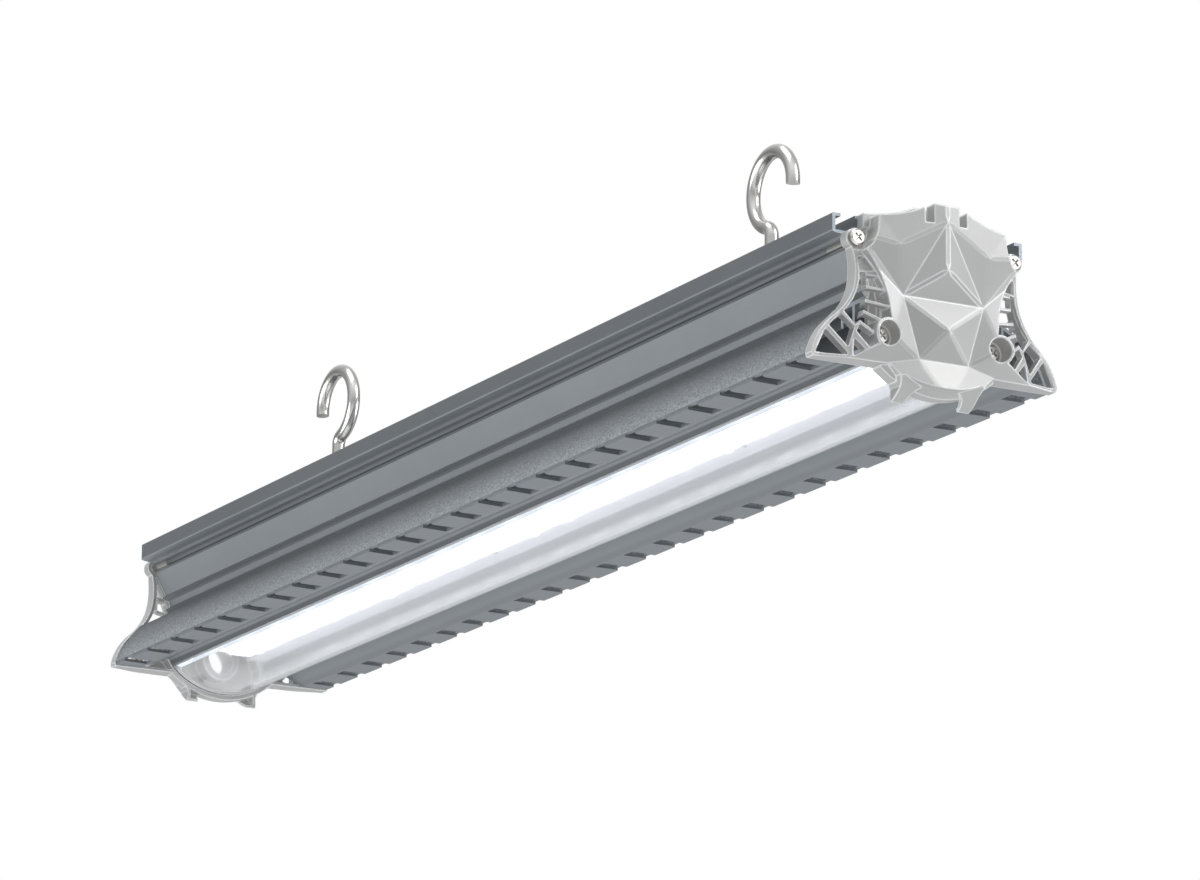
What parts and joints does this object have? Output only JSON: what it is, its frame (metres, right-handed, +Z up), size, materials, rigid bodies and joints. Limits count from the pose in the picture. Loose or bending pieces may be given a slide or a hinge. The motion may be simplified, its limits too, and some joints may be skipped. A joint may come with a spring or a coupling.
{
  "type": "light fixture",
  "caption": "Long hanging linear light fixture with louvred wings, a curved clear lens, faceted end caps and wire hooks.",
  "frame": {"origin": "middle of the length and width, at the bottom of the four feet of the end caps", "axes": "+X along the length towards the plain end cap, +Y across, +Z up towards the hooks"},
  "size_m": [0.8971, 0.1512, 0.1872],
  "materials": {
    "profile": "satin blue-grey anodised extrusion, finely blasted on the wings",
    "cap": "warm light grey, satin, die cast",
    "clear_lens": "clear gloss acrylic, slightly ribbed",
    "seal": "matt black rubber",
    "steel": "polished stainless steel",
    "board": "white solder mask",
    "led": "white LED packages",
    "driver": "plain grey sheet case",
    "bracket": "mill finish sheet",
    "terminal": "pale grey"
  },
  "bodies": {
    "root": {"board_screws": "steel", "cap_seal_far": "seal", "cap_seal_near": "seal", "driver_bracket": "bracket", "driver_case": "driver", "driver_screws": "steel", "end_cap_far": "cap", "end_cap_near": "cap", "hook_far": "steel", "hook_lock_nut_far": "steel", "hook_lock_nut_near": "steel", "hook_near": "steel", "hook_nut_far": "steel", "hook_nut_near": "steel", "hook_plate_far": "steel", "hook_plate_near": "steel", "hook_washer_far": "steel", "hook_washer_near": "steel", "housing": "profile", "led_board_far": "board", "led_board_near": "board", "leds": "led", "lens": "clear_lens", "lens_seal_left": "seal", "lens_seal_right": "seal", "lower_cap_screws": "steel", "terminal_block": "terminal", "upper_cap_screws": "steel"}
  },
  "joints": []
}
